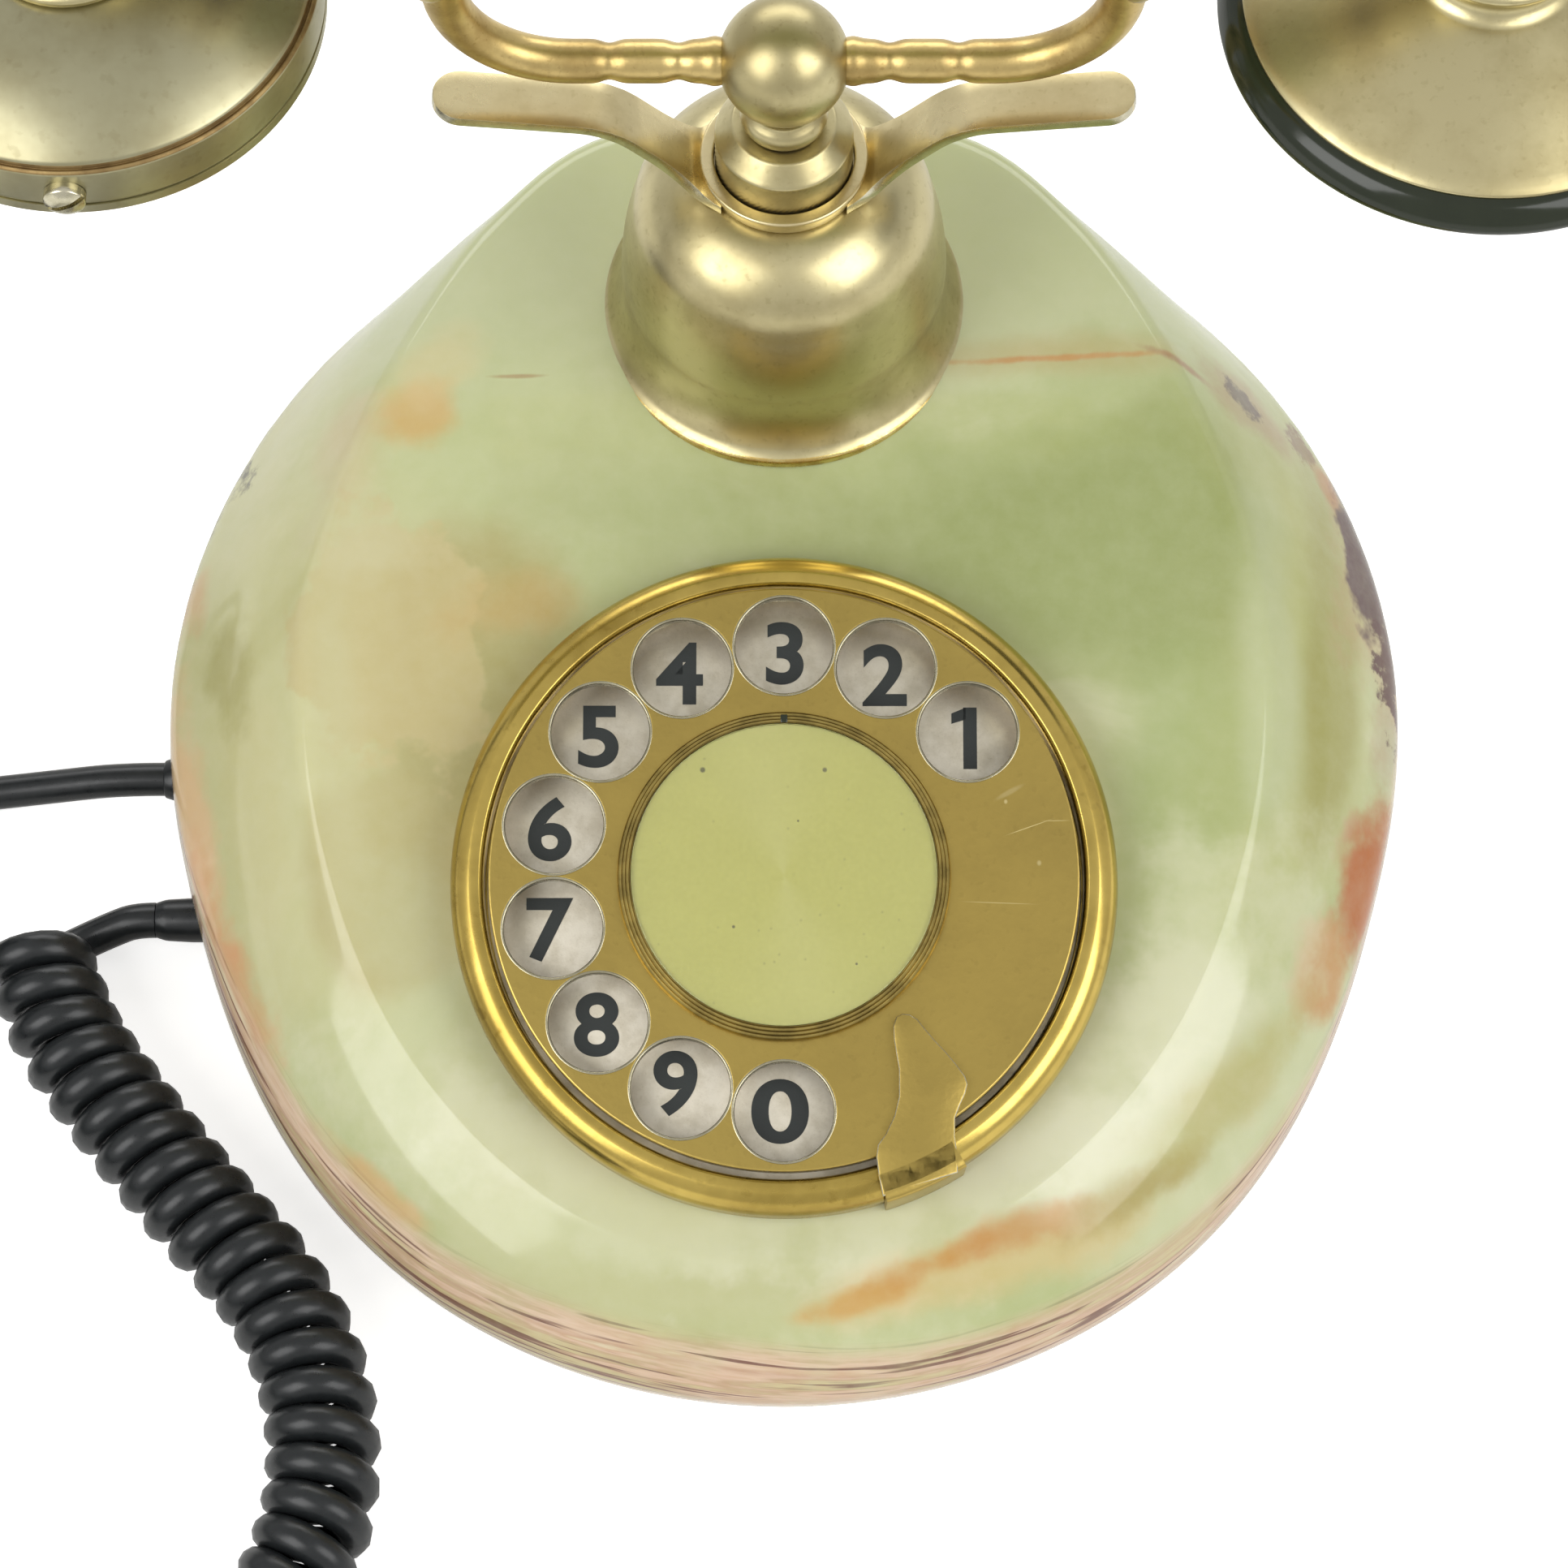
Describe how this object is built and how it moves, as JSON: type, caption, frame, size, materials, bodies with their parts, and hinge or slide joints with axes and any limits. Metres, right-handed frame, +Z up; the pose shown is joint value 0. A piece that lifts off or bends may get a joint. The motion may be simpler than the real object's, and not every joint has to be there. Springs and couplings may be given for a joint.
{
  "type": "corded desk telephone with rotary dial",
  "caption": "Round stone desk telephone with a rotary dial, a brass bell-shaped neck, a sprung cradle and a French-style corded handset.",
  "frame": {"origin": "centre of the underside of the felt pad", "axes": "+Z up, +Y from the user towards the neck and handset, +X to the user's right along the handset"},
  "size_m": [0.3288, 0.2252, 0.1664],
  "materials": {
    "onyx": "polished pale green onyx with cloudy bands",
    "polished_brass": "polished",
    "satin_brass": "satin, slightly tarnished",
    "wheel_brass": "brushed",
    "number_plate": "satin",
    "card": "matte",
    "clear": "clear",
    "steel": "satin",
    "magnet_coil": "lacquered winding",
    "rubber": "semi-gloss black",
    "black_plastic": "glossy black",
    "felt": "felt",
    "insulator": "matte",
    "plug_plastic": "clear grey"
  },
  "bodies": {
    "phone": {"body_shell": "onyx", "base_plate": "steel", "base_screws": "steel", "felt_pad": "felt", "cord_grommets": "rubber", "neck_bell": "satin_brass", "neck_tube": "satin_brass", "neck_nut": "satin_brass", "wing_plate": "satin_brass", "knurled_collar": "satin_brass", "plunger_spring": "steel", "hook_bracket": "steel", "hook_contacts": "insulator", "ringer_frame": "steel", "ringer_coils": "magnet_coil", "ringer_gongs": "polished_brass", "gong_posts": "steel", "terminal_board": "insulator", "speech_coil": "magnet_coil", "line_cord_run": "rubber", "line_cord_coil": "rubber", "line_plug": "plug_plastic", "plug_contacts": "polished_brass", "handset_cord_lead": "rubber", "handset_cord_curls": "rubber", "dial_bezel": "polished_brass", "number_plate": "number_plate", "finger_stop": "satin_brass", "dial_frame": "steel", "dial_screws": "steel", "return_spring": "steel", "governor_cup": "satin_brass", "dial_bridge": "steel", "pulse_contacts": "insulator"},
    "dial": {"finger_wheel": "wheel_brass", "wheel_hub_ring": "wheel_brass", "centre_card": "card", "card_cover": "clear", "wheel_screw": "satin_brass", "main_shaft": "steel", "main_gear": "satin_brass", "pulse_cam": "insulator"},
    "second": {"second_gear": "satin_brass"},
    "governor": {"governor_rotor": "satin_brass"},
    "cradle": {"cradle_hub": "satin_brass", "cradle_arms": "satin_brass", "cradle_yokes": "satin_brass", "plunger_rod": "steel"},
    "handset": {"handset_handle": "onyx", "handle_ferrules": "satin_brass", "handset_elbows": "satin_brass", "mouthpiece_cup": "satin_brass", "bayonet_screw": "steel", "mouthpiece_cap": "black_plastic", "microphone_capsule": "steel", "receiver_cup": "satin_brass", "ear_cap": "black_plastic", "receiver_capsule": "steel", "handset_gland": "rubber"},
    "clapper": {"ringer_clapper": "steel"}
  },
  "joints": [
    {"name": "dial_turn", "type": "hinge", "parent": "phone", "child": "dial", "pos_m": [0, -0.0245, 0.04], "axis": [0, -0.2588, 0.9659], "range_deg": [-325, 0], "stiffness_Nm_per_rad": 0.004, "springref_deg": 114.59},
    {"name": "second_spin", "type": "hinge", "parent": "phone", "child": "second", "pos_m": [-0.01903, -0.03119, 0.03821], "axis": [0, -0.2588, 0.9659], "range_deg": [0, 1300]},
    {"name": "governor_spin", "type": "hinge", "parent": "phone", "child": "governor", "pos_m": [-0.02185, -0.01573, 0.04235], "axis": [0, -0.2588, 0.9659], "range_deg": [-3900, 0]},
    {"name": "hook_slide", "type": "slide", "parent": "phone", "child": "cradle", "axis": [0, 0, 1], "range_m": [0, 0.0045], "stiffness_N_per_m": 200, "springref_m": 0.0125, "deforming": ["plunger_spring"]},
    {"name": "handset_lift", "type": "slide", "parent": "cradle", "child": "handset", "axis": [0, 0, 1], "range_m": [0, 0.15]},
    {"name": "clapper_swing", "type": "hinge", "parent": "phone", "child": "clapper", "pos_m": [0, 0.0182, 0.012], "axis": [0, 0, 1], "range_deg": [-3.5, 3.5], "stiffness_Nm_per_rad": 0.002}
  ],
  "couplings": [
    {"joint": "second_spin", "follows": "dial_turn", "ratio": -4},
    {"joint": "governor_spin", "follows": "dial_turn", "ratio": 12}
  ]
}
